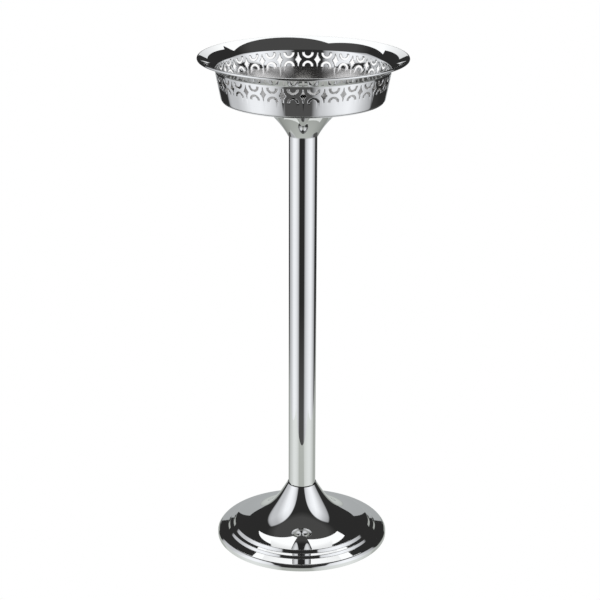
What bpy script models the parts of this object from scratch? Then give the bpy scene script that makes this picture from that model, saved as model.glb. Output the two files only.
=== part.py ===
"""Champagne bucket stand: a pierced basket on a funnel neck, a tube column and a weighted round base.

Everything is clamped by one tie rod, which runs from a cap nut in the funnel, through the column, to a
nut in the underside of the base weight. Metres, +Z up, origin on the floor under the column's centre.
"""

import math

import bmesh
import bpy
from mathutils import Matrix, Vector
from mathutils.geometry import tessellate_polygon

# Driving dimensions
TOTAL_HEIGHT = 0.620
RIM_RADIUS = 0.1244
COLUMN_RADIUS = 0.0170
BASE_RADIUS = 0.1076
SHEET = 0.0010  # thickness of the basket, the funnel and the base shell
GAP = 0.0003  # between pieces that touch

# Basket
RIM_SLOPE = 27.0  # of the flare where it meets the bead, in degrees
BEAD_RADIUS = 0.0016
WALL_TOP = (0.1040, 0.6060)  # radius and height of the outer face, where the flare begins
WALL_FOOT = (0.0974, 0.5723)
SEAT_HEIGHT = 0.5711  # upper face of the floor that the bucket stands on
OPENING_RADIUS = 0.0145  # in the middle of the floor, where a wrench reaches the cap nut
CELLS = 28  # repeats of the pierced pattern round the wall
CELL_DEGREES = 13.1  # the band is punched at this pitch, except on the left, behind the middle
EVEN_CELLS = 17  # at that pitch, counted to the right from the front and round to the back
FRONT_LEFT_CELLS = 4  # at that pitch too, and the rest share what is left of the circle
PATTERN_FOOT = 0.0149  # up the slope of the wall, from WALL_FOOT
PATTERN_HEIGHT = 0.0167
SLOT_INNER = 0.0042  # the two half-ring slots of each cell
SLOT_OUTER = 0.0067
RING_OUTER = 0.0114  # outer edge of the metal ring, which bounds the star-shaped hole
STEPS_PER_CELL = 2

# Funnel neck
NECK_FOOT = 0.5245
NECK_FLANGE_RADIUS = 0.0955
SOCKET_TOP = 0.5410

# Column and base
TUBE_WALL = 0.0012
TUBE_FOOT = 0.0263
TUBE_TOP = 0.5330
COLLAR_TOP = 0.0715
SHELL_FOOT = 0.0010
PLATE_Z = (0.0023, 0.0033)
WEIGHT_FOOT = 0.0036
NUT_POCKET_TOP = 0.0190
BUMPERS = 4
BUMPER_CIRCLE = 0.0850
SCREW_CIRCLE = 0.0850

# Fasteners, M10 and M4
ROD_RADIUS = 0.0047
NUT_BORE = 0.0050
NUT_ACROSS_FLATS = 0.0170
NUT_HEIGHT = 0.0080
CLEARANCE_HOLE = 0.0054
SCREW_RADIUS = 0.0017

MEDIUM, COARSE, SMALL = 40, 20, 12  # sides of round pieces


def material(name, colour, roughness, metallic):
    made = bpy.data.materials.new(name)
    made.use_nodes = True
    shader = made.node_tree.nodes["Principled BSDF"]
    shader.inputs["Base Color"].default_value = (*colour, 1.0)
    shader.inputs["Roughness"].default_value = roughness
    shader.inputs["Metallic"].default_value = metallic
    return made


def bezier(start, handle_a, handle_b, end, steps):
    """Points of a cubic curve in the radius and height plane, both ends included."""
    points = []
    for i in range(steps + 1):
        t = i / steps
        weights = ((1 - t) ** 3, 3 * t * (1 - t) ** 2, 3 * t * t * (1 - t), t**3)
        corners = (start, handle_a, handle_b, end)
        points.append(tuple(sum(w * c[k] for w, c in zip(weights, corners)) for k in (0, 1)))
    return points


def aim(point, angle, length):
    """The point that lies this far away, at this angle above the radius axis, in degrees."""
    turn = math.radians(angle)
    return (point[0] + length * math.cos(turn), point[1] + length * math.sin(turn))


def rounded(corners, steps=3):
    """A line through (radius, height, fillet) corners, each rounded off by its fillet."""
    points = [corners[0][:2]]
    for before, corner, after in zip(corners, corners[1:], corners[2:]):
        middle = Vector(corner[:2])
        back = Vector(before[:2]) - middle
        ahead = Vector(after[:2]) - middle
        if corner[2] == 0:
            points.append(tuple(middle))
            continue
        half = back.angle(ahead) / 2
        reach = corner[2] / math.tan(half)
        first = middle + back.normalized() * reach
        last = middle + ahead.normalized() * reach
        for i in range(steps + 1):
            t = i / steps
            points.append(tuple(first.lerp(middle, t).lerp(middle.lerp(last, t), t)))
    points.append(corners[-1][:2])
    return points


def offset(path, distance):
    """The path moved sideways by distance, to the right of its direction."""
    points = [Vector(p) for p in path]
    normals = []
    for a, b in zip(points, points[1:]):
        along = (b - a).normalized()
        normals.append(Vector((along.y, -along.x)))
    moved = []
    for i, point in enumerate(points):
        sides = normals[max(i - 1, 0) : i + 1]
        middle = sum(sides, Vector((0, 0))).normalized()
        moved.append(tuple(point + middle * (distance / middle.dot(sides[0]))))
    return moved


def radius_at(path, height):
    """Where a rising or falling path crosses this height."""
    for a, b in zip(path, path[1:]):
        if min(a[1], b[1]) <= height <= max(a[1], b[1]) and a[1] != b[1]:
            return a[0] + (b[0] - a[0]) * (height - a[1]) / (b[1] - a[1])
    raise ValueError(f"the path doesn't reach {height}")


def spin_path(mesh, path, segments, closed=True):
    """Turns a line in the XZ plane once round Z and adds it to the mesh."""
    verts = [mesh.verts.new((radius, 0, height)) for radius, height in path]
    pairs = list(zip(verts, verts[1:]))
    if closed:
        pairs.append((verts[-1], verts[0]))
    edges = [mesh.edges.new(pair) for pair in pairs]
    bmesh.ops.spin(
        mesh,
        geom=verts + edges,
        cent=(0, 0, 0),
        axis=(0, 0, 1),
        angle=math.tau,
        steps=segments,
        use_merge=True,
    )


def add_rings(mesh, path, turns):
    """The same as spin_path for an open line, with a copy of it at each of these angles in radians."""
    lines = [[mesh.verts.new((r * math.cos(t), r * math.sin(t), z)) for r, z in path] for t in turns]
    for line, following in zip(lines, lines[1:] + lines[:1]):
        for i in range(len(path) - 1):
            mesh.faces.new((line[i], following[i], following[i + 1], line[i + 1]))


def add_object(name, mesh, finish, location=(0, 0, 0), smooth_angle=35):
    """Closes the mesh, points its faces outwards and links it as a named object."""
    bmesh.ops.remove_doubles(mesh, verts=mesh.verts, dist=2e-6)
    bmesh.ops.dissolve_degenerate(mesh, edges=mesh.edges, dist=1e-7)
    bmesh.ops.recalc_face_normals(mesh, faces=mesh.faces)
    data = bpy.data.meshes.new(name)
    mesh.to_mesh(data)
    mesh.free()
    data.shade_smooth()
    data.set_sharp_from_angle(angle=math.radians(smooth_angle))
    data.materials.append(finish)
    made = bpy.data.objects.new(name, data)
    made.location = location
    bpy.context.scene.collection.objects.link(made)
    return made


def turned(name, profile, segments, finish, location=(0, 0, 0)):
    """A solid of revolution from a closed profile."""
    mesh = bmesh.new()
    spin_path(mesh, profile, segments)
    return add_object(name, mesh, finish, location)


def cylinder_cutter(name, radius, low, high, at=(0, 0), segments=COARSE):
    mesh = bmesh.new()
    place = Matrix.Translation((at[0], at[1], (low + high) / 2))
    bmesh.ops.create_cone(
        mesh,
        cap_ends=True,
        segments=segments,
        radius1=radius,
        radius2=radius,
        depth=high - low,
        matrix=place,
    )
    data = bpy.data.meshes.new(name)
    mesh.to_mesh(data)
    mesh.free()
    cutter = bpy.data.objects.new(name, data)
    cutter.hide_render = True
    cutter.display_type = "WIRE"
    bpy.context.scene.collection.objects.link(cutter)
    return cutter


def drill(target, cutter):
    cut = target.modifiers.new("hole", "BOOLEAN")
    cut.operation = "DIFFERENCE"
    cut.solver = "EXACT"
    cut.object = cutter


def around(count, radius, start):
    """Places on a circle about Z, beginning at an angle in degrees."""
    for i in range(count):
        angle = math.radians(start) + math.tau * i / count
        yield radius * math.cos(angle), radius * math.sin(angle)


# --- Basket -------------------------------------------------------------------------------------


def arc(centre, radius, start, end, steps):
    points = []
    for i in range(steps + 1):
        angle = math.radians(start + (end - start) * i / steps)
        points.append((centre[0] + radius * math.cos(angle), centre[1] + radius * math.sin(angle)))
    return points


def cell_outlines(pitch, length):
    """One cell of the wall laid flat: its outline, which runs round half a star at each side, and two slots.

    Across is from -pitch/2 to pitch/2, and up is the distance up the wall's slope.
    """
    low, high = PATTERN_FOOT, PATTERN_FOOT + PATTERN_HEIGHT
    side = math.degrees(math.asin(PATTERN_HEIGHT / 2 / RING_OUTER))
    lower = arc((0, low), RING_OUTER, 0, side, 2)
    upper = arc((0, high), RING_OUTER, -side, 0, 2)
    right = [(pitch / 2, low)] + lower + upper[1:] + [(pitch / 2, high)]
    left = [(-across, up) for across, up in reversed(right)]
    foot = [(pitch * (i / STEPS_PER_CELL - 0.5), 0) for i in range(STEPS_PER_CELL + 1)]
    head = [(-across, length) for across, _ in foot]
    outline = foot + right + head + left
    slots = []
    for centre, turn in ((low, 1), (high, -1)):
        outer = arc((0, centre), SLOT_OUTER, 0, 180 * turn, 5)
        inner = arc((0, centre), SLOT_INNER, 180 * turn, 0, 4)
        slots.append(outer + inner)
    return outline, slots


def turn_of(cells):
    """Angle in degrees of a place this many cells to the right of the front star, from 0 to CELLS."""
    tight_start = EVEN_CELLS * CELL_DEGREES
    tight_end = 360 - FRONT_LEFT_CELLS * CELL_DEGREES
    tight_cells = CELLS - EVEN_CELLS - FRONT_LEFT_CELLS
    if cells <= EVEN_CELLS:
        return cells * CELL_DEGREES
    if cells >= CELLS - FRONT_LEFT_CELLS:
        return 360 - (CELLS - cells) * CELL_DEGREES
    return tight_start + (cells - EVEN_CELLS) * (tight_end - tight_start) / tight_cells


def around_wall(cells):
    """The same as an angle from +X in radians: the front is -Y, where a star is."""
    return math.radians(turn_of(cells) - 90)


def add_pierced_wall(mesh):
    """The cone-shaped wall between the floor and the flare, with its pattern cut through."""
    foot, top = Vector(WALL_FOOT), Vector(WALL_TOP)
    length = (top - foot).length
    slope = (top - foot).normalized()
    inward = Vector((-slope.y, slope.x)) * SHEET
    middle = PATTERN_FOOT + PATTERN_HEIGHT / 2
    pitch = math.radians(CELL_DEGREES) * (foot + slope * middle).x
    outline, slots = cell_outlines(pitch, length)
    loops = [outline] + slots
    points = [p for loop in loops for p in loop]
    triangles = tessellate_polygon([[Vector((*p, 0)) for p in loop] for loop in loops])

    def place(point, cell, skin):
        angle = around_wall(point[0] / pitch + cell + 0.5)
        profile = foot + slope * point[1] + skin
        return profile.x * math.cos(angle), profile.x * math.sin(angle), profile.y

    for cell in range(CELLS):
        outer = [mesh.verts.new(place(p, cell, Vector((0, 0)))) for p in points]
        inner = [mesh.verts.new(place(p, cell, inward)) for p in points]
        for a, b, c in triangles:
            mesh.faces.new((outer[a], outer[b], outer[c]))
            mesh.faces.new((inner[c], inner[b], inner[a]))
        start = 0
        for loop in loops:
            for i, point in enumerate(loop):
                following = loop[(i + 1) % len(loop)]
                at_side = abs(abs(point[0]) - pitch / 2) < 1e-9 and abs(point[0] - following[0]) < 1e-9
                at_end = point[1] == following[1] and point[1] in (0, length)
                if not (at_side or at_end):
                    a, b = start + i, start + (i + 1) % len(loop)
                    mesh.faces.new((outer[a], outer[b], inner[b], inner[a]))
            start += len(loop)


def basket_paths():
    """The unpierced stretches of the basket: over the flare and bead, and round the floor."""
    top, foot = Vector(WALL_TOP), Vector(WALL_FOOT)
    slope = (top - foot).normalized()
    lean = math.degrees(math.atan2(slope.y, slope.x))
    inward = Vector((-slope.y, slope.x)) * SHEET
    bead = (RIM_RADIUS - BEAD_RADIUS, TOTAL_HEIGHT - BEAD_RADIUS)
    hidden = aim(bead, 90 + RIM_SLOPE, BEAD_RADIUS - SHEET)
    underside = bezier(
        WALL_TOP, aim(WALL_TOP, lean, 0.0014), aim(hidden, 180 + RIM_SLOPE, 0.0120), hidden, 7
    )
    outside = [point for point in underside if math.dist(point, bead) > BEAD_RADIUS + 0.0003]
    curl = arc(bead, BEAD_RADIUS, -172, 90, 5)
    topside = list(reversed(offset(underside, -SHEET)))
    inner_top = tuple(top + inward)
    flare = outside + curl + topside[:-1] + [inner_top]

    inner_foot = tuple(foot + inward)
    corner = (inner_foot[0] - (inner_foot[1] - SEAT_HEIGHT) / math.tan(math.radians(lean)), SEAT_HEIGHT)
    under = (WALL_FOOT[0] - 0.0005, SEAT_HEIGHT - SHEET)
    floor = (
        rounded([(*inner_foot, 0), (*corner, 0.0006), (OPENING_RADIUS, SEAT_HEIGHT, 0)], 1)
        + [(OPENING_RADIUS, SEAT_HEIGHT - SHEET)]
        + rounded([(OPENING_RADIUS, SEAT_HEIGHT - SHEET, 0), (*under, 0.0014), (*WALL_FOOT, 0)], 2)[1:]
    )
    return flare, floor


def build_basket(finish):
    mesh = bmesh.new()
    add_pierced_wall(mesh)
    turns = [around_wall(i / STEPS_PER_CELL) for i in range(CELLS * STEPS_PER_CELL)]
    for path in basket_paths():
        add_rings(mesh, path, turns)
    bmesh.ops.remove_doubles(mesh, verts=mesh.verts, dist=1e-5)
    return add_object("basket", mesh, finish)


# --- Funnel neck --------------------------------------------------------------------------------


def funnel_outer():
    """Outer face of the funnel, from its collar up and out to the flange."""
    collar = (COLUMN_RADIUS + GAP + SHEET, NECK_FOOT)
    start = (collar[0], NECK_FOOT + 0.0012)
    flange_z = SEAT_HEIGHT - 2 * SHEET - GAP - 0.0001
    end = (0.0680, flange_z)
    flare = bezier(start, aim(start, 62, 0.0230), aim(end, 187, 0.0160), end, 7)
    return [collar] + flare + [(NECK_FLANGE_RADIUS, flange_z)]


def build_funnel(finish):
    outer = funnel_outer()
    inner = offset(outer, -SHEET)
    return turned("neck_funnel", outer + list(reversed(inner)), MEDIUM, finish)


def build_socket(finish):
    """Turned ring welded inside the funnel. It drops over the column's top and carries the nut."""
    bore = COLUMN_RADIUS + GAP
    shoulder = TUBE_TOP + GAP
    wall = offset(funnel_outer(), -SHEET - GAP)
    foot = NECK_FOOT + 0.0045
    heights = [foot + (SOCKET_TOP - foot) * i / 3 for i in range(4)]
    against = [(radius_at(wall, height), height) for height in heights]
    profile = [(CLEARANCE_HOLE, shoulder), (bore, shoulder), (bore, foot)]
    profile += against
    profile += [(CLEARANCE_HOLE, SOCKET_TOP)]
    return turned("neck_socket", profile, MEDIUM, finish)


# --- Fasteners ----------------------------------------------------------------------------------


def build_washer(name, outer, low, thickness, finish):
    profile = [
        (CLEARANCE_HOLE, low),
        (outer, low),
        (outer, low + thickness),
        (CLEARANCE_HOLE, low + thickness),
    ]
    return turned(name, profile, COARSE, finish)


def build_spring_washer(name, low, finish):
    """A square wire turned almost once round, its ends a little apart in height."""
    inner, wire, rise, steps = 0.0052, 0.0020, 0.0003, 22
    mesh = bmesh.new()
    section = [(inner, low), (inner + wire, low), (inner + wire, low + wire), (inner, low + wire)]
    verts = [mesh.verts.new((radius, 0, height)) for radius, height in section]
    face = mesh.faces.new(verts)
    bmesh.ops.spin(
        mesh,
        geom=verts + list(face.edges) + [face],
        cent=(0, 0, 0),
        axis=(0, 0, 1),
        dvec=(0, 0, rise / steps),
        angle=math.radians(348),
        steps=steps,
        use_duplicate=False,
    )
    mesh.faces.ensure_lookup_table()
    return add_object(name, mesh, finish)


def hexagon(mesh, low, high, chamfer, chamfer_top, chamfer_foot):
    """A nut's body: a six-sided bar whose corners are turned down at the chamfered ends."""
    corner = NUT_ACROSS_FLATS / math.sqrt(3)
    rings = [(corner - chamfer if chamfer_foot else corner, low)]
    if chamfer_foot:
        rings.append((corner, low + chamfer * 0.6))
    if chamfer_top:
        rings.append((corner, high - chamfer * 0.6))
    rings.append((corner - chamfer if chamfer_top else corner, high))
    spin_path(mesh, [(0, low)] + rings + [(0, high)], 6, closed=False)


def build_nut(name, low, finish, chamfer_foot=True):
    mesh = bmesh.new()
    hexagon(mesh, low, low + NUT_HEIGHT, 0.0009, True, chamfer_foot)
    nut = add_object(name, mesh, finish, smooth_angle=20)
    drill(nut, cylinder_cutter(name + "_bore", NUT_BORE, low - 0.001, low + NUT_HEIGHT + 0.001))
    return nut


def build_cap_nut(name, low, finish):
    """A nut with a closed dome, bored from below."""
    mesh = bmesh.new()
    hexagon(mesh, low, low + NUT_HEIGHT, 0.0009, False, True)
    nut = add_object(name, mesh, finish, smooth_angle=20)
    dome_radius = NUT_ACROSS_FLATS / 2 - 0.0006
    foot, top = low + NUT_HEIGHT - 0.0010, low + NUT_HEIGHT + 0.0082
    dome = bmesh.new()
    profile = [(0, foot), (dome_radius, foot), (dome_radius, foot + 0.0018)]
    for i in range(1, 6):
        angle = math.pi / 2 * i / 6
        profile.append((dome_radius * math.cos(angle), foot + 0.0018 + (top - foot - 0.0018) * math.sin(angle)))
    profile.append((0, top))
    spin_path(dome, profile, COARSE, closed=False)
    dome_object = add_object(name + "_dome", dome, finish)
    dome_object.hide_render = True
    dome_object.display_type = "WIRE"
    join = nut.modifiers.new("dome", "BOOLEAN")
    join.operation = "UNION"
    join.solver = "EXACT"
    join.object = dome_object
    drill(nut, cylinder_cutter(name + "_bore", NUT_BORE, low - 0.001, low + 0.0115))
    return nut


def build_rod(low, high, finish):
    profile = [
        (0, low),
        (ROD_RADIUS - 0.0008, low),
        (ROD_RADIUS, low + 0.0008),
        (ROD_RADIUS, high - 0.0008),
        (ROD_RADIUS - 0.0008, high),
        (0, high),
    ]
    mesh = bmesh.new()
    spin_path(mesh, profile, COARSE, closed=False)
    return add_object("tie_rod", mesh, finish)


# --- Column and base ----------------------------------------------------------------------------


def build_tube(finish):
    bore = COLUMN_RADIUS - TUBE_WALL
    profile = [(COLUMN_RADIUS, TUBE_FOOT), (COLUMN_RADIUS, TUBE_TOP), (bore, TUBE_TOP), (bore, TUBE_FOOT)]
    return turned("column_tube", profile, MEDIUM, finish)


def shell_outer():
    """Outer face of the base, from the collar down the trumpet, over two steps, to the hem."""
    collar = (COLUMN_RADIUS + GAP + SHEET * 0.9, COLLAR_TOP)
    end = (0.0850, 0.0187)
    trumpet = bezier(collar, aim(collar, -60, 0.0330), aim(end, 172, 0.0370), end, 7)
    steps = [
        (*trumpet[-2], 0),
        (*end, 0),
        (0.0876, 0.0149, 0),
        (0.0920, 0.0141, 0),
        (0.0942, 0.0110, 0),
        (0.1050, 0.0091, 0.0020),
        (BASE_RADIUS, 0.0060, 0.0020),
        (BASE_RADIUS, SHELL_FOOT, 0.0012),
        (0.1032, SHELL_FOOT, 0),
    ]
    return trumpet[:-1] + rounded(steps, 1)[1:]


def build_shell(finish):
    outer = shell_outer()
    inner = offset(outer, SHEET * 0.9)
    return turned("base_shell", outer + list(reversed(inner)), MEDIUM, finish)


def build_weight(finish):
    """Iron casting under the shell. The tube stands in its boss, and the tie rod pulls up on it."""
    bore = COLUMN_RADIUS + GAP
    seat = TUBE_FOOT - GAP
    under_shell = offset(shell_outer(), SHEET * 0.9 + 2 * GAP)
    casting = [p for p in under_shell if 0.040 < p[0] < 0.1025 and p[1] > WEIGHT_FOOT + 0.001]
    profile = [
        (CLEARANCE_HOLE, NUT_POCKET_TOP),
        (0.0220, NUT_POCKET_TOP),
        (0.0230, WEIGHT_FOOT),
        (0.1025, WEIGHT_FOOT),
        (0.1025, casting[-1][1] - 0.0020),
    ]
    profile += reversed(casting)
    profile += [
        (0.0300, casting[0][1]),
        (0.0230, 0.0450),
        (bore, 0.0450),
        (bore, seat),
        (CLEARANCE_HOLE, seat),
    ]
    weight = turned("base_weight", profile, MEDIUM, finish)
    below = WEIGHT_FOOT - 0.001
    for i, place in enumerate(around(BUMPERS, BUMPER_CIRCLE, 0)):
        drill(weight, cylinder_cutter(f"weight_pocket_{i + 1}", 0.0052, below, 0.0072, place, SMALL))
    for i, place in enumerate(around(BUMPERS, SCREW_CIRCLE, 45)):
        drill(weight, cylinder_cutter(f"weight_tapping_{i + 1}", 0.0020, below, 0.0100, place, SMALL))
    return weight


def build_plate(finish):
    low, high = PLATE_Z
    mesh = bmesh.new()
    spin_path(mesh, [(0, low), (0.1055, low), (0.1055, high), (0, high)], MEDIUM, closed=False)
    plate = add_object("bottom_plate", mesh, finish)
    for i, place in enumerate(around(BUMPERS, BUMPER_CIRCLE, 0)):
        drill(plate, cylinder_cutter(f"plate_bumper_hole_{i + 1}", 0.0033, low - 0.001, high + 0.001, place, SMALL))
    for i, place in enumerate(around(BUMPERS, SCREW_CIRCLE, 45)):
        drill(plate, cylinder_cutter(f"plate_screw_hole_{i + 1}", 0.0022, low - 0.001, high + 0.001, place, SMALL))
    return plate


def build_bumper(name, place, finish):
    """Push-in rubber foot: a disc under the plate, a stem through it and a barb above."""
    low, high = PLATE_Z
    profile = [
        (0, 0),
        (0.0072, 0),
        (0.0080, 0.0008),
        (0.0080, low - GAP),
        (0.0029, low - GAP),
        (0.0029, high + GAP),
        (0.0038, high + GAP),
        (0.0030, high + 0.0022),
        (0, high + 0.0022),
    ]
    mesh = bmesh.new()
    spin_path(mesh, profile, SMALL, closed=False)
    return add_object(name, mesh, finish, (*place, 0))


def build_screw(name, place, finish):
    """Pan-head screw that holds the bottom plate to the weight."""
    low = PLATE_Z[0] - GAP
    profile = [
        (0, low - 0.0014),
        (0.0022, low - 0.0014),
        (0.0034, low - 0.0008),
        (0.0036, low),
        (SCREW_RADIUS, low),
        (SCREW_RADIUS, 0.0085),
        (0, 0.0095),
    ]
    mesh = bmesh.new()
    spin_path(mesh, profile, SMALL, closed=False)
    return add_object(name, mesh, finish, (*place, 0))


def main():
    for old in list(bpy.data.objects):
        bpy.data.objects.remove(old)

    mirror = material("mirror_steel", (0.80, 0.80, 0.80), 0.04, 1.0)
    zinc = material("zinc_steel", (0.62, 0.62, 0.60), 0.35, 1.0)
    iron = material("cast_iron", (0.05, 0.05, 0.05), 0.70, 0.6)
    painted = material("black_paint", (0.02, 0.02, 0.02), 0.45, 0.0)
    rubber = material("black_rubber", (0.02, 0.02, 0.02), 0.80, 0.0)

    build_basket(mirror)
    build_funnel(mirror)
    build_socket(zinc)
    build_tube(mirror)

    washer_low = SOCKET_TOP + GAP
    build_washer("head_flat_washer", 0.0125, washer_low, 0.0020, mirror)
    spring_low = washer_low + 0.0020 + GAP
    build_spring_washer("head_spring_washer", spring_low, mirror)
    cap_low = spring_low + 0.0023 + GAP
    build_cap_nut("head_cap_nut", cap_low, mirror)

    nut_low = 0.0057
    build_rod(nut_low - 0.0010, cap_low + 0.0105, zinc)
    build_nut("base_nut", nut_low, zinc)
    base_spring = nut_low + NUT_HEIGHT + GAP
    build_spring_washer("base_spring_washer", base_spring, zinc)
    build_washer("base_flat_washer", 0.0125, base_spring + 0.0023 + GAP, 0.0020, zinc)

    build_shell(mirror)
    build_weight(iron)
    build_plate(painted)
    for i, place in enumerate(around(BUMPERS, BUMPER_CIRCLE, 0)):
        build_bumper(f"rubber_bumper_{i + 1}", place, rubber)
    for i, place in enumerate(around(BUMPERS, SCREW_CIRCLE, 45)):
        build_screw(f"plate_screw_{i + 1}", place, zinc)


main()
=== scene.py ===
import math

import bmesh
import bpy
from mathutils import Matrix, Vector
from mathutils.geometry import tessellate_polygon


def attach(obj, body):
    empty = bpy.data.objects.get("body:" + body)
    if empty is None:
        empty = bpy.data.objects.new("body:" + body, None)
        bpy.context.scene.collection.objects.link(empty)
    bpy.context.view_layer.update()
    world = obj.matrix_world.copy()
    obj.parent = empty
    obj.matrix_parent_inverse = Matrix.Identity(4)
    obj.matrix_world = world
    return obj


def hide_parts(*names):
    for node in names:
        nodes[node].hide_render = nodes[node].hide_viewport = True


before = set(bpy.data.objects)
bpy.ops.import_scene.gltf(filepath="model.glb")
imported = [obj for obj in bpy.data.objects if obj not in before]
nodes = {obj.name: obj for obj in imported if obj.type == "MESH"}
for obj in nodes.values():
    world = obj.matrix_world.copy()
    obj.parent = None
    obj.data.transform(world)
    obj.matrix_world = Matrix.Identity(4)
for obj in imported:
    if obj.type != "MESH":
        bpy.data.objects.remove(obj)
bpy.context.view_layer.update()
scene = bpy.context.scene
print("frame loaded:", len(nodes), "nodes")


# Profiles are drawn as (radius, height) points

def bend(start, handleA, handleB, end, steps):
    points = []
    for i in range(steps + 1):
        t = i / steps
        weights = ((1 - t) ** 3, 3 * t * (1 - t) ** 2, 3 * t * t * (1 - t), t ** 3)
        corners = (start, handleA, handleB, end)
        points.append(tuple(sum(w * c[k] for w, c in zip(weights, corners)) for k in (0, 1)))
    return points


def aimed(point, degrees, length):
    turn = math.radians(degrees)
    return (point[0] + length * math.cos(turn), point[1] + length * math.sin(turn))


def filleted(corners, steps=8):
    points = [corners[0][:2]]
    for before, corner, after in zip(corners, corners[1:], corners[2:]):
        middle = Vector(corner[:2])
        back = (Vector(before[:2]) - middle).normalized()
        ahead = (Vector(after[:2]) - middle).normalized()
        half = back.angle(ahead) / 2
        if corner[2] == 0:
            points.append(tuple(middle))
            continue
        reach = corner[2] / math.tan(half)
        centre = middle + (back + ahead).normalized() * (corner[2] / math.sin(half))
        first = middle + back * reach - centre
        last = middle + ahead * reach - centre
        swing = math.atan2(first.x * last.y - first.y * last.x, first.dot(last))
        for i in range(steps + 1):
            turn = swing * i / steps
            points.append((
                centre.x + first.x * math.cos(turn) - first.y * math.sin(turn),
                centre.y + first.x * math.sin(turn) + first.y * math.cos(turn),
            ))
    points.append(corners[-1][:2])
    return points


def sideways(path, distance):
    # to the right of the path's direction
    points = [Vector(p) for p in path]
    normals = []
    for a, b in zip(points, points[1:]):
        along = (b - a).normalized()
        normals.append(Vector((along.y, -along.x)))
    moved = []
    for i, point in enumerate(points):
        sides = normals[max(i - 1, 0):i + 1]
        middle = sum(sides, Vector((0, 0))).normalized()
        moved.append(tuple(point + middle * (distance / middle.dot(sides[0]))))
    return moved


def circleArc(centre, radius, start, end, steps):
    points = []
    for i in range(steps + 1):
        turn = math.radians(start + (end - start) * i / steps)
        points.append((centre[0] + radius * math.cos(turn), centre[1] + radius * math.sin(turn)))
    return points


def thinned(path, gap=2e-6):
    # leaves out points that coincide
    kept = [path[0]]
    for point in path[1:]:
        if math.dist(point, kept[-1]) > gap:
            kept.append(point)
    return kept


# Geometry Nodes helpers

def newTree(name, floats=(), wholes=()):
    tree = bpy.data.node_groups.new(name, "GeometryNodeTree")
    sockets = tree.interface
    sockets.new_socket("Geometry", in_out="INPUT", socket_type="NodeSocketGeometry")
    for label in floats:
        sockets.new_socket(label, in_out="INPUT", socket_type="NodeSocketFloat")
    for label in wholes:
        sockets.new_socket(label, in_out="INPUT", socket_type="NodeSocketInt")
    sockets.new_socket("Material", in_out="INPUT", socket_type="NodeSocketMaterial")
    sockets.new_socket("Geometry", in_out="OUTPUT", socket_type="NodeSocketGeometry")
    return tree, tree.nodes.new("NodeGroupInput"), tree.nodes.new("NodeGroupOutput")


def addMath(tree, operation, first, second=None):
    node = tree.nodes.new("ShaderNodeMath")
    node.operation = operation
    for i, value in enumerate((first, second)):
        if value is None:
            continue
        if isinstance(value, bpy.types.NodeSocket):
            tree.links.new(value, node.inputs[i])
        else:
            node.inputs[i].default_value = value
    return node.outputs[0]


def runTree(mesh, name, tree, **values):
    # evaluates the tree on the mesh and returns a plain mesh object
    source = bpy.data.objects.new(name + "Source", mesh)
    scene.collection.objects.link(source)
    modifier = source.modifiers.new("nodes", "NODES")
    modifier.node_group = tree
    for item in tree.interface.items_tree:
        if item.in_out == "INPUT" and item.name in values:
            modifier[item.identifier] = values[item.name]
    bpy.context.view_layer.update()
    evaluated = source.evaluated_get(bpy.context.evaluated_depsgraph_get())
    made = bpy.data.meshes.new_from_object(evaluated)
    bpy.data.objects.remove(source)
    made.name = name
    piece = bpy.data.objects.new(name, made)
    scene.collection.objects.link(piece)
    return piece


def closedLine(name, path):
    mesh = bpy.data.meshes.new(name)
    count = len(path)
    edges = [(i, i + 1) for i in range(count - 1)] + [(count - 1, 0)]
    mesh.from_pydata([(x, y, 0) for x, y in path], edges, [])
    return mesh


# Turns a profile round the column's axis, along a round rail
turning = {"sides": 384, "railRadius": 0.1, "weld": 1e-6, "sharpDegrees": 40}
spinTree, spinIn, spinOut = newTree("spinOnAxis", wholes=("Sides",))
rail = spinTree.nodes.new("GeometryNodeCurvePrimitiveCircle")
rail.inputs["Radius"].default_value = turning["railRadius"]
upright = spinTree.nodes.new("GeometryNodeSetCurveNormal")
upright.mode = "Z_UP"
asCurve = spinTree.nodes.new("GeometryNodeMeshToCurve")
sweep = spinTree.nodes.new("GeometryNodeCurveToMesh")
weld = spinTree.nodes.new("GeometryNodeMergeByDistance")
weld.inputs["Distance"].default_value = turning["weld"]
finish = spinTree.nodes.new("GeometryNodeSetMaterial")
spinTree.links.new(spinIn.outputs["Sides"], rail.inputs["Resolution"])
spinTree.links.new(rail.outputs[0], upright.inputs["Curve"])
spinTree.links.new(upright.outputs[0], sweep.inputs["Curve"])
spinTree.links.new(spinIn.outputs["Geometry"], asCurve.inputs[0])
spinTree.links.new(asCurve.outputs[0], sweep.inputs["Profile Curve"])
spinTree.links.new(sweep.outputs[0], weld.inputs[0])
spinTree.links.new(weld.outputs[0], finish.inputs["Geometry"])
spinTree.links.new(spinIn.outputs["Material"], finish.inputs["Material"])
spinTree.links.new(finish.outputs[0], spinOut.inputs[0])


def signedVolume(mesh):
    mesh.calc_loop_triangles()
    total = 0
    for tri in mesh.loop_triangles:
        a, b, c = (mesh.vertices[i].co for i in tri.vertices)
        total += a.dot(b.cross(c))
    return total


def faceOutwards(piece):
    made = bmesh.new()
    made.from_mesh(piece.data)
    bmesh.ops.remove_doubles(made, verts=made.verts, dist=turning["weld"])
    bmesh.ops.dissolve_degenerate(made, edges=made.edges, dist=1e-8)
    bmesh.ops.recalc_face_normals(made, faces=made.faces)
    made.to_mesh(piece.data)
    made.free()
    if signedVolume(piece.data) < 0:
        piece.data.flip_normals()
    piece.data.shade_smooth()
    piece.data.set_sharp_from_angle(angle=math.radians(turning["sharpDegrees"]))


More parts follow.
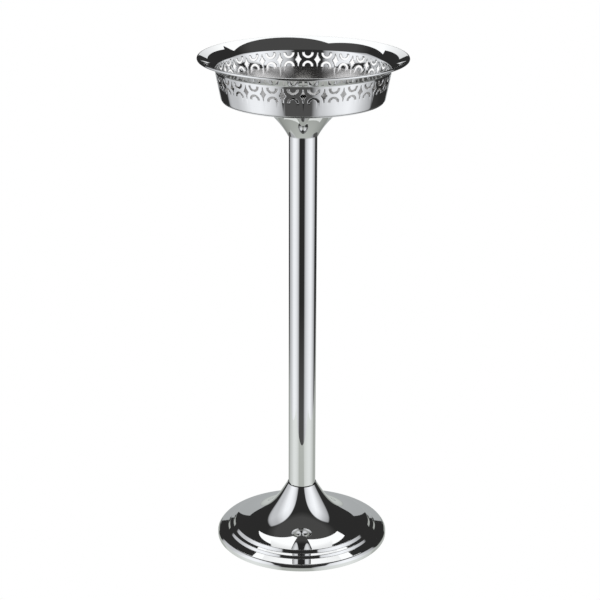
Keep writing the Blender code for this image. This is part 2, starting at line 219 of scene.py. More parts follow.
def spun(name, path, material):
    # the rail's radius is taken off, and the section hangs downwards from the rail
    away = turning["railRadius"]
    section = closedLine(name + "Line", [(radius - away, -height) for radius, height in thinned(path)])
    piece = runTree(section, name, spinTree, Sides=turning["sides"], Material=material)
    faceOutwards(piece)
    return piece


# Shader helpers and groups

def newShaderGroup(name, inputs, outputs):
    group = bpy.data.node_groups.new(name, "ShaderNodeTree")
    kinds = {"f": "NodeSocketFloat", "c": "NodeSocketColor", "v": "NodeSocketVector"}
    for label, kind in inputs:
        group.interface.new_socket(label, in_out="INPUT", socket_type=kinds[kind])
    for label, kind in outputs:
        group.interface.new_socket(label, in_out="OUTPUT", socket_type=kinds[kind])
    return group, group.nodes.new("NodeGroupInput"), group.nodes.new("NodeGroupOutput")


def addNoise(tree, vector, scale, detail=2.0, roughness=0.5):
    noise = tree.nodes.new("ShaderNodeTexNoise")
    noise.inputs["Detail"].default_value = detail
    noise.inputs["Roughness"].default_value = roughness
    tree.links.new(vector, noise.inputs["Vector"])
    if isinstance(scale, bpy.types.NodeSocket):
        tree.links.new(scale, noise.inputs["Scale"])
    else:
        noise.inputs["Scale"].default_value = scale
    return noise.outputs["Fac"]


def addRange(tree, value, low, high, toLow, toHigh):
    remap = tree.nodes.new("ShaderNodeMapRange")
    for label, given in (("From Min", low), ("From Max", high), ("To Min", toLow), ("To Max", toHigh)):
        remap.inputs[label].default_value = given
    tree.links.new(value, remap.inputs["Value"])
    return remap.outputs[0]


# Fine rings left by spinning and buffing. The vector is a place on the piece
ringGroup, ringIn, ringOut = newShaderGroup(
    "buffedRings", (("Vector", "v"), ("Rings per metre", "f"), ("Strength", "f")),
    (("Height", "f"), ("Mask", "f")))
split = ringGroup.nodes.new("ShaderNodeSeparateXYZ")
ringGroup.links.new(ringIn.outputs["Vector"], split.inputs[0])
across = addMath(ringGroup, "SQRT", addMath(
    ringGroup, "ADD",
    addMath(ringGroup, "MULTIPLY", split.outputs[0], split.outputs[0]),
    addMath(ringGroup, "MULTIPLY", split.outputs[1], split.outputs[1])))
aroundTurn = addMath(ringGroup, "ARCTAN2", split.outputs[1], split.outputs[0])
joined = ringGroup.nodes.new("ShaderNodeCombineXYZ")
ringsPer, ringStrength = ringIn.outputs["Rings per metre"], ringIn.outputs["Strength"]
ringGroup.links.new(addMath(ringGroup, "MULTIPLY", across, ringsPer), joined.inputs[0])
ringGroup.links.new(addMath(ringGroup, "MULTIPLY", split.outputs[2], ringsPer), joined.inputs[1])
drift = 1.5  # how quickly a ring changes on its way round
ringGroup.links.new(addMath(ringGroup, "MULTIPLY", aroundTurn, drift), joined.inputs[2])
ringNoise = addNoise(ringGroup, joined.outputs[0], 1.0, 3.0, 0.6)
ringGroup.links.new(addMath(ringGroup, "MULTIPLY", ringNoise, ringStrength), ringOut.inputs["Height"])
ringGroup.links.new(ringNoise, ringOut.inputs["Mask"])

# Hazy patches and fine wiping marks left by handling
hazeGroup, hazeIn, hazeOut = newShaderGroup(
    "handlingHaze", (("Vector", "v"), ("Patch scale", "f"), ("Base roughness", "f"), ("Haze", "f")),
    (("Roughness", "f"), ("Mask", "f")))
patches = addNoise(hazeGroup, hazeIn.outputs["Vector"], hazeIn.outputs["Patch scale"], 4.0, 0.6)
wipes = addNoise(hazeGroup, hazeIn.outputs["Vector"], 900.0, 2.0, 0.5)
patchMask = addRange(hazeGroup, patches, 0.5, 0.72, 0.0, 1.0)
wipeMask = addRange(hazeGroup, wipes, 0.35, 0.75, 0.4, 1.0)
hazeMask = addMath(hazeGroup, "MULTIPLY", patchMask, wipeMask)
hazeGroup.links.new(
    addMath(hazeGroup, "ADD", hazeIn.outputs["Base roughness"],
            addMath(hazeGroup, "MULTIPLY", hazeMask, hazeIn.outputs["Haze"])),
    hazeOut.inputs["Roughness"])
hazeGroup.links.new(hazeMask, hazeOut.inputs["Mask"])


def addGroup(tree, group, **values):
    node = tree.nodes.new("ShaderNodeGroup")
    node.node_tree = group
    for label, value in values.items():
        label = label.replace("_", " ")
        if isinstance(value, bpy.types.NodeSocket):
            tree.links.new(value, node.inputs[label])
        else:
            node.inputs[label].default_value = value
    return node


def mixColour(tree, amount, first, second):
    mix = tree.nodes.new("ShaderNodeMix")
    mix.data_type = "RGBA"
    tree.links.new(amount, mix.inputs["Factor"])
    mix.inputs["A"].default_value = (*first, 1)
    mix.inputs["B"].default_value = (*second, 1)
    return mix.outputs["Result"]


def startMaterial(name, metallic, roughness):
    made = bpy.data.materials.new(name)
    made.use_nodes = True
    shader = made.node_tree.nodes["Principled BSDF"]
    shader.inputs["Metallic"].default_value = metallic
    shader.inputs["Roughness"].default_value = roughness
    onPiece = made.node_tree.nodes.new("ShaderNodeTexCoord").outputs["Object"]
    return made, made.node_tree, shader, onPiece


def addBump(tree, shader, height, strength, distance):
    bump = tree.nodes.new("ShaderNodeBump")
    bump.inputs["Strength"].default_value = strength
    bump.inputs["Distance"].default_value = distance
    tree.links.new(height, bump.inputs["Height"])
    tree.links.new(bump.outputs[0], shader.inputs["Normal"])


def steelMaterial(name, colour, shade, roughness, haze, patchScale, ringsPerMetre, ringBump):
    made, tree, shader, onPiece = startMaterial(name, 1.0, roughness)
    hazeNode = addGroup(
        tree, hazeGroup, Vector=onPiece, Patch_scale=patchScale, Base_roughness=roughness, Haze=haze)
    tree.links.new(hazeNode.outputs["Roughness"], shader.inputs["Roughness"])
    rings = addGroup(tree, ringGroup, Vector=onPiece, Rings_per_metre=ringsPerMetre, Strength=1.0)
    tree.links.new(mixColour(tree, rings.outputs["Mask"], shade, colour), shader.inputs["Base Color"])
    addBump(tree, shader, rings.outputs["Height"], 1.0, ringBump)
    return made


# light and dark colour, roughness and its haze, patches and rings per metre, and the rings' height in metres
mirrorSteel = steelMaterial(
    "mirrorSteel", (0.80, 0.80, 0.79), (0.76, 0.76, 0.755), 0.02, 0.03, 14, 900, 2e-7)
satinSteel = steelMaterial(
    "satinSteel", (0.74, 0.72, 0.70), (0.64, 0.62, 0.60), 0.125, 0.08, 20, 2600, 1.6e-6)
# the basket's floor: rougher than the satin steel, and darker in colour as painted shade in the bowl's bottom
shadedFloorSteel = steelMaterial(
    "shadedFloorSteel", (0.46, 0.45, 0.44), (0.38, 0.37, 0.36), 0.20, 0.10, 20, 2000, 2e-6)
turnedSteel = steelMaterial(
    "turnedSteel", (0.66, 0.66, 0.65), (0.55, 0.55, 0.54), 0.22, 0.10, 60, 5000, 4e-6)


def zincMaterial():
    made, tree, shader, onPiece = startMaterial("zincSteel", 1.0, 0.35)
    cloud = addNoise(tree, onPiece, 300.0, 4.0, 0.6)
    tone = mixColour(tree, cloud, (0.50, 0.50, 0.46), (0.70, 0.70, 0.69))
    tree.links.new(tone, shader.inputs["Base Color"])
    tree.links.new(addRange(tree, cloud, 0.3, 0.7, 0.25, 0.45), shader.inputs["Roughness"])
    addBump(tree, shader, addNoise(tree, onPiece, 4000.0), 0.3, 1e-5)
    return made


def ironMaterial():
    made, tree, shader, onPiece = startMaterial("castIron", 0.5, 0.7)
    grain = addNoise(tree, onPiece, 700.0, 6.0, 0.65)
    tone = mixColour(tree, grain, (0.02, 0.02, 0.02), (0.09, 0.085, 0.08))
    tree.links.new(tone, shader.inputs["Base Color"])
    tree.links.new(addRange(tree, grain, 0.3, 0.7, 0.55, 0.85), shader.inputs["Roughness"])
    addBump(tree, shader, grain, 0.8, 3e-4)
    return made


def paintMaterial():
    made, tree, shader, onPiece = startMaterial("blackPaint", 0.0, 0.45)
    peel = addNoise(tree, onPiece, 1400.0, 2.0, 0.5)
    tone = mixColour(tree, peel, (0.016, 0.016, 0.017), (0.030, 0.030, 0.031))
    tree.links.new(tone, shader.inputs["Base Color"])
    sheen = addRange(tree, addNoise(tree, onPiece, 40.0, 3.0), 0.35, 0.65, 0.38, 0.52)
    tree.links.new(sheen, shader.inputs["Roughness"])
    addBump(tree, shader, peel, 0.5, 5e-5)
    return made


def rubberMaterial():
    made, tree, shader, onPiece = startMaterial("blackRubber", 0.0, 0.8)
    pores = addNoise(tree, onPiece, 2500.0, 3.0, 0.6)
    dust = addRange(tree, addNoise(tree, onPiece, 220.0, 4.0, 0.6), 0.5, 0.75, 0.0, 1.0)
    tone = mixColour(tree, dust, (0.018, 0.018, 0.018), (0.06, 0.058, 0.055))
    tree.links.new(tone, shader.inputs["Base Color"])
    tree.links.new(addRange(tree, pores, 0.3, 0.7, 0.7, 0.9), shader.inputs["Roughness"])
    addBump(tree, shader, pores, 0.4, 3e-5)
    return made


zincSteel, castIron = zincMaterial(), ironMaterial()
blackPaint, blackRubber = paintMaterial(), rubberMaterial()
print("materials made")


def place(piece, slotName, *replaced):
    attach(piece, "root")
    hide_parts(*replaced)


# Basket
basket = {
    "rimRadius": 0.1244,
    "rimHeight": 0.6200,
    "beadRadius": 0.0016,
    "rimSlope": 27,  # of the flare where it meets the bead, in degrees
    "flareHandles": (0.0014, 0.0120),  # how far the flare's curve keeps the wall's lean and the rim's slope
    "wallTop": (0.1040, 0.6060),
    "wallFoot": (0.0974, 0.5723),
    "seatHeight": 0.5711,
    "openingRadius": 0.0145,  # in the middle of the floor, where a wrench reaches the cap nut
    "floorRounds": (0.0008, 0.0013),  # inside and outside
    "sheet": 0.0010,
    "cells": 28,
    "cellDegrees": 13.1,
    "evenCells": 17,  # to the right from the front, before the stretch of closer cells
    "closeCells": 7,
    "patternFoot": 0.0149,
    "patternHeight": 0.0167,
    "slotInner": 0.0042,
    "slotOuter": 0.0067,
    "ringOuter": 0.0114,
    "edgeRound": 0.00014,
    "strips": 16,  # flat strips that each cell is cut into, so that it can be bent round
}
# how much nearer together the closer cells are, in degrees
closeness = (basket["cells"] * basket["cellDegrees"] - 360) / basket["closeCells"]


def aroundWall(cells):
    # angle of a place this many cells to the right of the front star
    close = min(max(cells - basket["evenCells"], 0), basket["closeCells"])
    return math.radians(cells * basket["cellDegrees"] - close * closeness - 90)


def cellLoops(pitch, eased):
    # one repeat of the pattern laid flat, its edges drawn back by eased
    low = basket["patternFoot"]
    high = low + basket["patternHeight"]
    ring = basket["ringOuter"]
    side = math.degrees(math.asin(basket["patternHeight"] / 2 / ring))
    lower = circleArc((0, low), ring, 0, side, 14)
    upper = circleArc((0, high), ring, -side, 0, 14)
    right = [(pitch / 2, low)] + lower + upper[1:] + [(pitch / 2, high)]
    right = sideways(right, -eased)
    left = [(-x, y) for x, y in reversed(right)]
    slots = []
    for centre, turn in ((low, 1), (high, -1)):
        loop = circleArc((0, centre), basket["slotOuter"], 0, 180 * turn, 24)
        loop += circleArc((0, centre), basket["slotInner"], 180 * turn, 0, 18)
        count = len(loop)
        closed = sideways([loop[-1]] + loop + [loop[0]], eased * turn)[1:count + 1]
        slots.append(closed)
    return left, right, slots


def cellMesh(pitch, length):
    # a flat cell: x runs round the wall, y up its slope and z through the sheet
    sheet, ease = basket["sheet"], basket["edgeRound"]
    made = bmesh.new()
    levels = []
    for depth in (0.0, 0.3, 1.0):
        levels.append((depth * ease, ease * (1 - depth) ** 2))
    levels += [(sheet - depth, eased) for depth, eased in reversed(levels)]
    rows = []
    for depth, eased in levels:
        left, right, slots = cellLoops(pitch, eased)
        rows.append([[made.verts.new((x, y, depth)) for x, y in line] for line in [left, right] + slots])
    for upper, lower in zip(rows, rows[1:]):
        for number, (lineA, lineB) in enumerate(zip(upper, lower)):
            closed = number > 1
            count = len(lineA)
            for i in range(count if closed else count - 1):
                j = (i + 1) % count
                made.faces.new((lineA[i], lineA[j], lineB[j], lineB[i]))
    for row, depth in ((rows[0], 0.0), (rows[-1], sheet)):
        foot = [made.verts.new((pitch * x, 0, depth)) for x in (-0.5, 0.5)]
        head = [made.verts.new((pitch * x, length, depth)) for x in (0.5, -0.5)]
        outline = foot + row[1] + head + row[0]
        loops = [outline] + row[2:]
        corners = [vert for loop in loops for vert in loop]
        for a, b, c in tessellate_polygon([[v.co for v in loop] for loop in loops]):
            made.faces.new((corners[a], corners[b], corners[c]))
    for i in range(1, basket["strips"]):
        cut = pitch * (i / basket["strips"] - 0.5)
        bmesh.ops.bisect_plane(
            made, geom=made.verts[:] + made.edges[:] + made.faces[:], dist=1e-7,
            plane_co=(cut, 0, 0), plane_no=(1, 0, 0))
    mesh = bpy.data.meshes.new("basketCell")
    made.to_mesh(mesh)
    made.free()
    return mesh


# Repeats the flat cell and wraps the row round the cone of the wall
bandTree, bandIn, bandOut = newTree(
    "wrapPiercedBand", wholes=("Cells", "Even cells", "Close cells"), floats=(
        "Pitch", "Cell turn", "Closeness", "Foot radius", "Foot height", "Slope out", "Slope up"))
row = bandTree.nodes.new("GeometryNodeMeshLine")
step = bandTree.nodes.new("ShaderNodeCombineXYZ")
copies = bandTree.nodes.new("GeometryNodeInstanceOnPoints")
real = bandTree.nodes.new("GeometryNodeRealizeInstances")
shift = bandTree.nodes.new("GeometryNodeSetPosition")
spot = bandTree.nodes.new("GeometryNodeInputPosition")
parts = bandTree.nodes.new("ShaderNodeSeparateXYZ")
wrapped = bandTree.nodes.new("ShaderNodeCombineXYZ")
bandWeld = bandTree.nodes.new("GeometryNodeMergeByDistance")
bandWeld.inputs["Distance"].default_value = 4e-6
bandFinish = bandTree.nodes.new("GeometryNodeSetMaterial")
wire = bandTree.links.new
wire(bandIn.outputs["Cells"], row.inputs["Count"])
wire(bandIn.outputs["Pitch"], step.inputs[0])
wire(step.outputs[0], row.inputs["Offset"])
wire(row.outputs[0], copies.inputs["Points"])
wire(bandIn.outputs["Geometry"], copies.inputs["Instance"])
wire(copies.outputs[0], real.inputs[0])
wire(real.outputs[0], shift.inputs["Geometry"])
wire(spot.outputs[0], parts.inputs[0])
# a star, which lies between two cells, faces the front
cellsAlong = addMath(bandTree, "ADD", 0.5, addMath(
    bandTree, "DIVIDE", parts.outputs[0], bandIn.outputs["Pitch"]))
closeAlong = addMath(bandTree, "MINIMUM", bandIn.outputs["Close cells"], addMath(
    bandTree, "MAXIMUM", 0.0, addMath(bandTree, "SUBTRACT", cellsAlong, bandIn.outputs["Even cells"])))
turned = addMath(bandTree, "SUBTRACT", addMath(
    bandTree, "SUBTRACT", addMath(bandTree, "MULTIPLY", cellsAlong, bandIn.outputs["Cell turn"]),
    addMath(bandTree, "MULTIPLY", closeAlong, bandIn.outputs["Closeness"])), math.pi / 2)
outward = addMath(bandTree, "ADD", bandIn.outputs["Foot radius"], addMath(
    bandTree, "SUBTRACT", addMath(bandTree, "MULTIPLY", parts.outputs[1], bandIn.outputs["Slope out"]),
    addMath(bandTree, "MULTIPLY", parts.outputs[2], bandIn.outputs["Slope up"])))
upward = addMath(bandTree, "ADD", bandIn.outputs["Foot height"], addMath(
    bandTree, "ADD", addMath(bandTree, "MULTIPLY", parts.outputs[1], bandIn.outputs["Slope up"]),
    addMath(bandTree, "MULTIPLY", parts.outputs[2], bandIn.outputs["Slope out"])))
wire(addMath(bandTree, "MULTIPLY", outward, addMath(bandTree, "COSINE", turned)), wrapped.inputs[0])
wire(addMath(bandTree, "MULTIPLY", outward, addMath(bandTree, "SINE", turned)), wrapped.inputs[1])
wire(upward, wrapped.inputs[2])
wire(wrapped.outputs[0], shift.inputs["Position"])
wire(shift.outputs[0], bandWeld.inputs[0])
wire(bandWeld.outputs[0], bandFinish.inputs["Geometry"])
wire(bandIn.outputs["Material"], bandFinish.inputs["Material"])
wire(bandFinish.outputs[0], bandOut.inputs[0])


def basketLines():
    top, foot, sheet = Vector(basket["wallTop"]), Vector(basket["wallFoot"]), basket["sheet"]
    slope = (top - foot).normalized()
    lean = math.degrees(math.atan2(slope.y, slope.x))
    inward = Vector((-slope.y, slope.x)) * sheet
    size, seat = basket["beadRadius"], basket["seatHeight"]
    bead = (basket["rimRadius"] - size, basket["rimHeight"] - size)
    # the flare's upper face runs onto the bead without a step
    hidden = aimed(bead, 90 + basket["rimSlope"], size - sheet)
    wallHandle, rimHandle = basket["flareHandles"]
    under = bend(basket["wallTop"], aimed(basket["wallTop"], lean, wallHandle),
                 aimed(hidden, 180 + basket["rimSlope"], rimHandle), hidden, 60)
    # round the bead from just under the flare, then on to where its upper face starts
    curl = circleArc(bead, size, -172, 90, 24) + circleArc(bead, size, 99, 90 + basket["rimSlope"], 2)
    over = list(reversed(sideways(under, -sheet)))[1:-1]
    clear = 0.0001
    outside = [point for point in under if math.dist(point, bead) > size + clear]
    flare = outside + curl + over + [tuple(top + inward)]
    innerFoot = tuple(foot + inward)
    drop = (innerFoot[1] - seat) / math.tan(math.radians(lean))
    corner = (innerFoot[0] - drop, seat)
    below = (foot.x - sheet / 2, seat - sheet)
    radius = basket["openingRadius"]
    roundInside, roundOutside = basket["floorRounds"]
    upperSide = filleted([(*innerFoot, 0), (*corner, roundInside), (radius, seat, 0)])
    edgeRound = circleArc((radius + sheet / 2, seat - sheet / 2), sheet / 2, 100, 260, 10)
    lowerSide = filleted([(radius + sheet / 2, seat - sheet, 0), (*below, roundOutside), (*foot, 0)])
    return flare, upperSide[:-1] + edgeRound + lowerSide


def openSpin(made, path):
    path = thinned(path)
    rings = []
    for i in range(basket["cells"] * basket["strips"]):
        turn = aroundWall(i / basket["strips"])
        rings.append([made.verts.new((r * math.cos(turn), r * math.sin(turn), z)) for r, z in path])
    for here, there in zip(rings, rings[1:] + rings[:1]):
        for j in range(len(path) - 1):
            made.faces.new((here[j], there[j], there[j + 1], here[j + 1]))


def makeBasket():
    foot, top = Vector(basket["wallFoot"]), Vector(basket["wallTop"])
    slope = (top - foot).normalized()
    middle = basket["patternFoot"] + basket["patternHeight"] / 2
    pitch = math.radians(basket["cellDegrees"]) * (foot + slope * middle).x
    cell = cellMesh(pitch, (top - foot).length)
    band = runTree(cell, "basketBand", bandTree, **{
        "Pitch": pitch, "Cells": basket["cells"], "Even cells": basket["evenCells"],
        "Close cells": basket["closeCells"], "Cell turn": math.radians(basket["cellDegrees"]),
        "Closeness": math.radians(closeness), "Foot radius": foot.x, "Foot height": foot.y,
        "Slope out": slope.x, "Slope up": slope.y, "Material": mirrorSteel})
    made = bmesh.new()
    made.from_mesh(band.data)
    bpy.data.objects.remove(band)
    for line in basketLines():
        openSpin(made, line)
    bmesh.ops.remove_doubles(made, verts=made.verts, dist=8e-6)
    mesh = bpy.data.meshes.new("basketPierced")
    made.to_mesh(mesh)
    made.free()
    piece = bpy.data.objects.new("basketPierced", mesh)
    scene.collection.objects.link(piece)
    faceOutwards(piece)
    mesh.materials.clear()
    for material in (mirrorSteel, satinSteel, shadedFloorSteel):
        mesh.materials.append(material)
    # the inner skin is polished down to the pattern's foot and satin below it; the floor is rougher still,
    # and its darker colour is painted shade in the bowl's bottom
    footHeight = basket["wallFoot"][1]
    for face in mesh.polygons:
        centre, normal = face.center, face.normal
        facesAxis = normal.x * centre.x + normal.y * centre.y < -0.02
        inside = facesAxis and centre.z < footHeight + basket["patternFoot"]
        floor = normal.z > 0.7 and centre.z < footHeight + basket["sheet"]
        face.material_index = 2 if floor else 1 if inside else 0
    place(piece, "mirror_steel", "basket")


makeBasket()
print("basket made")

# Funnel neck
funnel = {
    "columnRadius": 0.0170,
    "gap": 0.0003,
    "sheet": 0.0010,
    "foot": 0.5245,
    "flangeHeight": basket["seatHeight"] - 0.0020 - 0.0004,  # below the floor by both sheets and a gap
    "flangeRadius": 0.0955,
    "turnOut": 0.0680,  # radius where the curve has run out into the flange
    "lead": 0.0012,  # how far above the foot the curve starts
    "footCurve": (62, 0.0230),  # direction in degrees and length of the curve's two handles
    "flangeCurve": (187, 0.0160),
    "flangeEdge": (0.0002, 70),  # how far its round is set in, and its half angle
}


def makeFunnel():
    sheet = funnel["sheet"]
    collar = (funnel["columnRadius"] + funnel["gap"] + sheet, funnel["foot"])
    start = (collar[0], collar[1] + funnel["lead"])
    end = (funnel["turnOut"], funnel["flangeHeight"])
    trumpet = bend(start, aimed(start, *funnel["footCurve"]), aimed(end, *funnel["flangeCurve"]), end, 90)
    outer = trumpet + [(funnel["flangeRadius"], funnel["flangeHeight"])]
    inner = list(reversed(sideways(outer, -sheet)))
    lip = circleArc((collar[0] - sheet / 2, start[1]), sheet / 2, 180, 360, 12)
    inset, half = funnel["flangeEdge"]
    edge = circleArc((funnel["flangeRadius"] - inset, end[1] + sheet / 2), sheet / 2, -half, half, 6)
    piece = spun("neckFunnel", outer[:-1] + edge + inner[1:] + lip[:-1], mirrorSteel)
    place(piece, "mirror_steel", "neck_funnel")


makeFunnel()

# Column
column = {"radius": 0.0170, "wall": 0.0012, "foot": 0.0263, "top": 0.5330, "edge": 0.0003}


def makeColumn():
    radius, edge = column["radius"], column["edge"]
    bore = radius - column["wall"]
    low, high = column["foot"], column["top"]
    corners = [(bore, (low + high) / 2, 0), (bore, high, edge), (radius, high, edge),
               (radius, low, edge), (bore, low, edge), (bore, (low + high) / 2, 0)]
    path = filleted(corners, 4)[:-1]
    place(spun("columnTube", path, mirrorSteel), "mirror_steel", "column_tube")


makeColumn()
print("funnel and column made")

# Base shell
baseShell = {
    "columnRadius": 0.0170,
    "gap": 0.0003,
    "sheet": 0.0009,
    "collarTop": 0.0715,
    "radius": 0.1076,
    "foot": 0.0010,
    "trumpetEnd": (0.0850, 0.0187),
    "endRound": 0.0012,
    "collarCurve": (-60, 0.0330),  # direction in degrees and length of the curve's two handles
    "endCurve": (172, 0.0370),
    # radius, height and rounding of each corner, out across the two steps
    "steps": [(0.0876, 0.0149, 0.0010), (0.0920, 0.0141, 0.0012), (0.0942, 0.0110, 0.0010),
              (0.1050, 0.0091, 0.0030)],
    "rimTop": 0.0060,
    "rimRound": 0.0030,
    "hemRadius": 0.1032,
    "hemRound": 0.0007,
}


def makeShell():
    sheet = baseShell["sheet"]
    collar = (baseShell["columnRadius"] + baseShell["gap"] + sheet, baseShell["collarTop"])
    end = baseShell["trumpetEnd"]
    trumpet = bend(
        collar, aimed(collar, *baseShell["collarCurve"]), aimed(end, *baseShell["endCurve"]), end, 90)
    radius, foot = baseShell["radius"], baseShell["foot"]
    disc = [(*trumpet[-2], 0), (*end, baseShell["endRound"]), *baseShell["steps"],
            (radius, baseShell["rimTop"], baseShell["rimRound"]),
            (radius, foot, baseShell["hemRound"]), (baseShell["hemRadius"], foot, 0)]
    outer = trumpet[:-1] + filleted(disc)[1:]
    inner = list(reversed(sideways(outer, sheet)))
    place(spun("baseShell", outer + inner, mirrorSteel), "mirror_steel", "base_shell")


makeShell()
print("base shell made")

finishes = {
    "neck_socket": turnedSteel, "head_flat_washer": mirrorSteel, "head_spring_washer": mirrorSteel,
    "head_cap_nut": mirrorSteel, "tie_rod": zincSteel, "base_nut": zincSteel, "base_spring_washer": zincSteel,
    "base_flat_washer": zincSteel, "base_weight": castIron, "bottom_plate": blackPaint,
}
for i in range(1, 5):
    finishes[f"rubber_bumper_{i}"] = blackRubber
    finishes[f"plate_screw_{i}"] = zincSteel
for name, material in finishes.items():
    mesh = nodes[name].data
    mesh.materials.clear()
    mesh.materials.append(material)
print("carried-over pieces finished")

# Studio. Turn 0 is towards the camera and 90 to its right, and rise is above the horizon, in degrees.
# Stops are (angle, level) pairs, and the level runs straight between them
studio = {
    "centre": (0.0, 0.0, 0.30),
    "reach": 4.6,
    "step": 1.0,
    "gloom": [(-45, 0.10), (-30, 0.09), (-18, 0.030), (48, 0.030), (58, 0.075), (90, 0.075)],
    "boxColour": (0.935, 0.957, 1.0),
    "boxRise": [(-72, 0.55), (-38, 0.74), (-30, 1.0), (0, 1.10), (36, 1.12), (52, 0.88), (56, 0.86)],
    "boxTop": (54, 51),  # rise of the upper edge of the left and right boxes, where each is nearest
    "boxNearest": (92, 80),  # turn at which the left and right boxes are nearest
    "edge": 2.0,  # softness of the upper edge
    "leftBox": [(26, 0.0), (31, 0.45), (40, 0.75), (50, 0.94), (65, 1.08), (80, 1.04), (93, 0.80),
                (105, 0.62), (119, 0.60), (125, 0.48), (129, 0.0)],
    "rightBox": [(12, 0.0), (17, 0.36), (24, 0.66), (36, 0.84), (50, 1.0), (68, 1.10), (80, 0.96),
                 (93, 0.70), (102, 0.55), (109, 0.42), (113, 0.0)],
    "overheadCorners": [(-0.25, 0.48, 2.0), (1.50, 2.05, 3.0), (1.10, 2.90, 3.0), (-1.00, 1.85, 2.0)],
    "overheadGlow": 1.30,
    "sheetColour": (0.97, 0.985, 1.0),  # of the overhead sheet and the card
    "cardLow": (0.09, 0.95, 0.82),  # half width, depth and height of the card above the back sheet
    "cardHigh": (0.38, 0.95, 1.38),
    "cardGlow": (0.85, 1.30),
    "sweepNear": (0.28, -0.23),  # half width and depth of the white sheet under and behind the stand
    "sweepFar": (0.54, 1.0),
    "sweepBend": 0.25,  # how far along the sheet its middle level is
    "sweepLow": -0.0005,
    "backWidth": 0.42,  # half width of the sheet that stands behind
    "sweepTop": 0.41,
    "sweepColour": (0.95, 1.0, 0.95),
    "sweepGlow": (0.56, 0.48, 0.20),
    "sweepGloss": 0.36,
    "backColour": (0.94, 0.98, 1.0),
    "backGlow": 0.50,
}


def levelAt(stops, angle):
    if angle <= stops[0][0]:
        return stops[0][1]
    for (a, before), (b, after) in zip(stops, stops[1:]):
        if angle <= b:
            return before + (after - before) * (angle - a) / (b - a)
    return stops[-1][1]


def boxLevel(turn, rise):
    # how bright a softbox is in this direction
    side = levelAt(studio["rightBox"] if turn > 0 else studio["leftBox"], abs(turn))
    lean = math.cos(math.radians(abs(turn) - studio["boxNearest"][turn > 0]))
    top = math.degrees(math.atan(math.tan(math.radians(studio["boxTop"][turn > 0])) * max(lean, 0)))
    cut = min(max((top - rise) / studio["edge"] + 0.5, 0), 1)
    return side * levelAt(studio["boxRise"], rise) * cut


def glowMaterial(name, strength, colour=None, gloss=0.0):
    # without a colour, it glows in the colour painted on the mesh
    made = bpy.data.materials.new(name)
    made.use_nodes = True
    tree = made.node_tree
    tree.nodes.clear()
    emit = tree.nodes.new("ShaderNodeEmission")
    emit.inputs["Strength"].default_value = strength
    if colour:
        emit.inputs["Color"].default_value = (*colour, 1)
    else:
        painted = tree.nodes.new("ShaderNodeVertexColor")
        painted.layer_name = "glow"
        tree.links.new(painted.outputs["Color"], emit.inputs["Color"])
    shine = tree.nodes.new("ShaderNodeBsdfGlossy")
    shine.inputs["Roughness"].default_value = 0.03
    shine.inputs["Color"].default_value = (gloss, gloss, gloss, 1)
    both = tree.nodes.new("ShaderNodeAddShader")
    out = tree.nodes.new("ShaderNodeOutputMaterial")
    tree.links.new(emit.outputs[0], both.inputs[0])
    if gloss:
        tree.links.new(shine.outputs[0], both.inputs[1])
    tree.links.new(both.outputs[0], out.inputs["Surface"])
    return made


def stagePiece(name, points, faces, material):
    # seen only in reflections
    mesh = bpy.data.meshes.new(name)
    mesh.from_pydata(points, [], faces)
    mesh.materials.append(material)
    made = bpy.data.objects.new(name, mesh)
    scene.collection.objects.link(made)
    made.visible_camera = False
    made.visible_shadow = False
    return made


def paint(piece, colours):
    painted = piece.data.color_attributes.new("glow", "FLOAT_COLOR", "POINT")
    painted.data.foreach_set("color", colours)


def makeDome():
    # the softboxes and the dark room between them, painted on a sphere
    step, reach, centre = studio["step"], studio["reach"], Vector(studio["centre"])
    across, up = round(360 / step), round(180 / step)
    points, colours = [], []
    for i in range(across + 1):
        turn = i * step - 180
        for j in range(up + 1):
            rise = j * step - 90
            turned, risen = math.radians(turn), math.radians(rise)
            level, height = math.cos(risen), math.sin(risen)
            way = Vector((math.sin(turned) * level, -math.cos(turned) * level, height))
            points.append(centre + way * reach)
            gloom, box = levelAt(studio["gloom"], rise), boxLevel(turn, rise)
            colours += [gloom + box * c for c in studio["boxColour"]] + [1.0]
    faces = []
    for i in range(across):
        for j in range(up):
            a = i * (up + 1) + j
            faces.append((a, a + up + 1, a + up + 2, a + 1))
    paint(stagePiece("dome", points, faces, glowMaterial("domeGlow", 1.0)), colours)


makeDome()


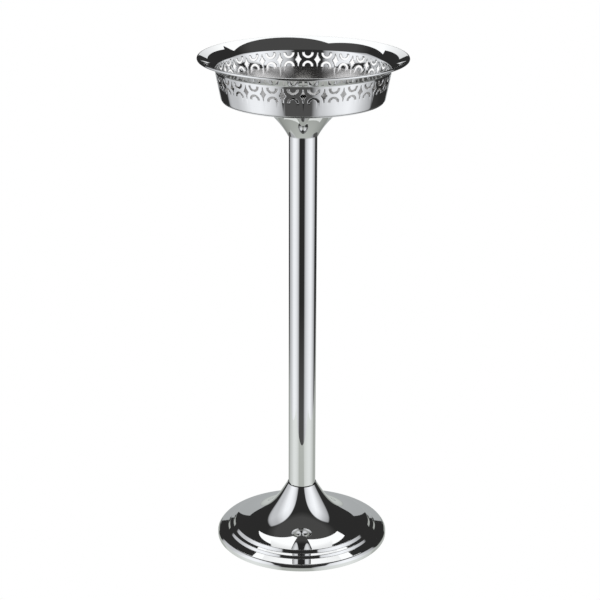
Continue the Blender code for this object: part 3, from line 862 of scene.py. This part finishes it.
def makeSheets():
    near, far, colour = studio["sweepNear"], studio["sweepFar"], studio["sheetColour"]
    stagePiece("overhead", studio["overheadCorners"], [(0, 1, 2, 3)], glowMaterial(
        "overheadGlow", studio["overheadGlow"], colour))
    (wide, y, z), (wider, deeper, higher) = studio["cardLow"], studio["cardHigh"]
    card = [(-wide, y, z), (wide, y, z), (wider, deeper, higher), (-wider, deeper, higher)]
    dim, bright = studio["cardGlow"]
    paint(stagePiece("backCard", card, [(0, 1, 2, 3)], glowMaterial("cardGlow", 1.0)), [
        level * c for level in (dim, dim, bright, bright) for c in (*colour, 1.0)])
    low, top, share = studio["sweepLow"], studio["sweepTop"], studio["sweepBend"]
    middle = tuple(a * (1 - share) + b * share for a, b in zip(near, far))
    table = [(side * wide, y, low) for wide, y in (near, middle, far) for side in (-1, 1)]
    paint(stagePiece("table", table, [(0, 1, 3, 2), (2, 3, 5, 4)], glowMaterial(
        "tableGlow", 1.0, None, studio["sweepGloss"])), [
        level * c for level in studio["sweepGlow"] for _ in (0, 1) for c in (*studio["sweepColour"], 1.0)])
    wide, deep = studio["backWidth"], far[1]
    back = [(-wide, deep, low), (wide, deep, low), (wide, deep, top), (-wide, deep, top)]
    stagePiece("backSheet", back, [(0, 1, 2, 3)], glowMaterial(
        "backGlow", studio["backGlow"], studio["backColour"]))


makeSheets()


def makeFloor():
    # a plain white floor that doesn't show in the steel
    mesh = bpy.data.meshes.new("floor")
    size, low = 30.0, -0.001
    corners = [(x * size, y * size, low) for x, y in ((-1, -1), (1, -1), (1, 1), (-1, 1))]
    mesh.from_pydata(corners, [], [(0, 1, 2, 3)])
    mesh.materials.append(glowMaterial("floorGlow", 1.0, (1.0, 1.0, 1.0)))
    made = bpy.data.objects.new("floor", mesh)
    scene.collection.objects.link(made)
    made.visible_glossy = False
    made.visible_diffuse = False
    made.visible_shadow = False


makeFloor()


def makeWorld():
    # white behind the stand, and nearly dark where the steel reflects it
    world = bpy.data.worlds.new("studioAir")
    scene.world = world
    world.use_nodes = True
    tree = world.node_tree
    tree.nodes.clear()
    path = tree.nodes.new("ShaderNodeLightPath")
    seen = tree.nodes.new("ShaderNodeBackground")
    seen.inputs["Color"].default_value = (1, 1, 1, 1)
    dark = tree.nodes.new("ShaderNodeBackground")
    dark.inputs["Color"].default_value = (0.030, 0.030, 0.030, 1)
    mix = tree.nodes.new("ShaderNodeMixShader")
    out = tree.nodes.new("ShaderNodeOutputWorld")
    tree.links.new(path.outputs["Is Camera Ray"], mix.inputs[0])
    tree.links.new(dark.outputs[0], mix.inputs[1])
    tree.links.new(seen.outputs[0], mix.inputs[2])
    tree.links.new(mix.outputs[0], out.inputs["Surface"])


makeWorld()
print("studio made")

# Camera
view = {"place": (0.0, -1.943, 1.0178), "tilt": 70.182, "roll": 0.2, "lens": 101.0, "shift": -0.0042}
camera = bpy.data.objects.new("camera", bpy.data.cameras.new("camera"))
scene.collection.objects.link(camera)
camera.data.sensor_width = 36
camera.data.lens = view["lens"]
camera.data.shift_x = view["shift"]
camera.matrix_world = (
    Matrix.Translation(view["place"])
    @ Matrix.Rotation(math.radians(view["tilt"]), 4, "X")
    @ Matrix.Rotation(math.radians(view["roll"]), 4, "Z"))
scene.camera = camera
scene.view_settings.view_transform = "Standard"
